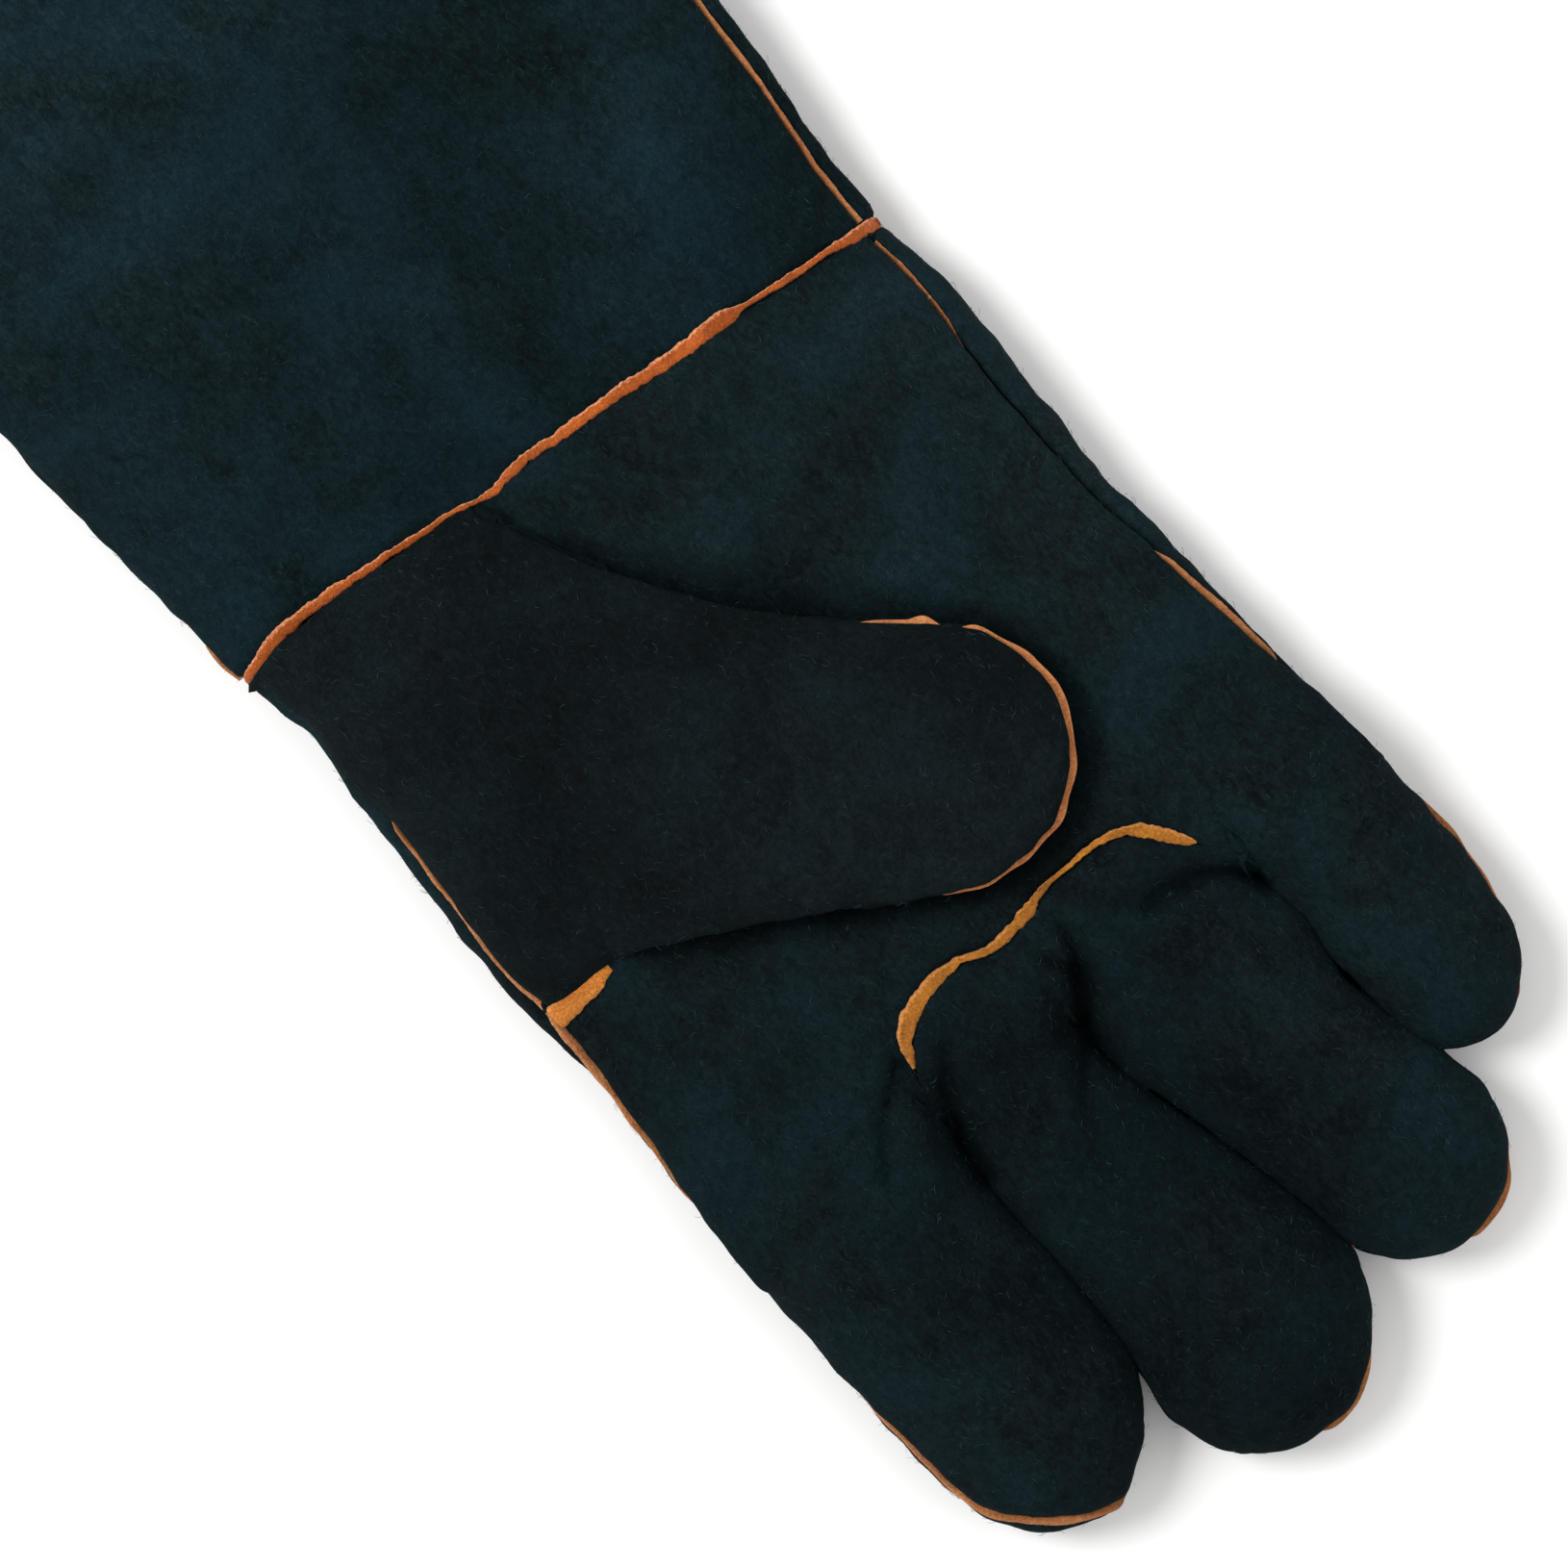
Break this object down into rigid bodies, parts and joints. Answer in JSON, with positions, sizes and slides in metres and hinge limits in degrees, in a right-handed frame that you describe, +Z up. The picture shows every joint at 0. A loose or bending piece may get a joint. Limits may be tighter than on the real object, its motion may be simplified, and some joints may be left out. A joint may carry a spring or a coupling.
{
  "type": "leather welding gauntlet glove, right hand",
  "caption": "Long-cuffed work gauntlet of dark split leather for hot work, right hand, palm up with the thumb folded over it, orange welts in the seams",
  "frame": {"origin": "middle of the bounding box, at the level the glove rests on", "axes": "X across the hand towards the thumb's side, Y from the cuff to the fingertips, Z up out of the palm"},
  "size_m": [0.164, 0.4006, 0.0429],
  "materials": {
    "suede": "dark teal-black split leather with a soft nap",
    "welt": "orange leather strip, slightly fuzzy"
  },
  "bodies": {
    "root": {"hand_back": "suede", "palm_panel": "suede", "middle_fingers_front": "suede", "thumb_outer": "suede", "thumb_under": "suede", "cuff_palm_side": "suede", "cuff_back": "suede", "little_welt": "welt", "ring_welt": "welt", "middle_welt": "welt", "index_welt": "welt", "cuff_welt_thumb_side": "welt", "cuff_welt_little_side": "welt", "wrist_welt_palm": "welt", "wrist_welt_back": "welt", "finger_base_welt": "welt", "thumb_welt": "welt", "thumb_root_welt": "welt"}
  },
  "joints": []
}
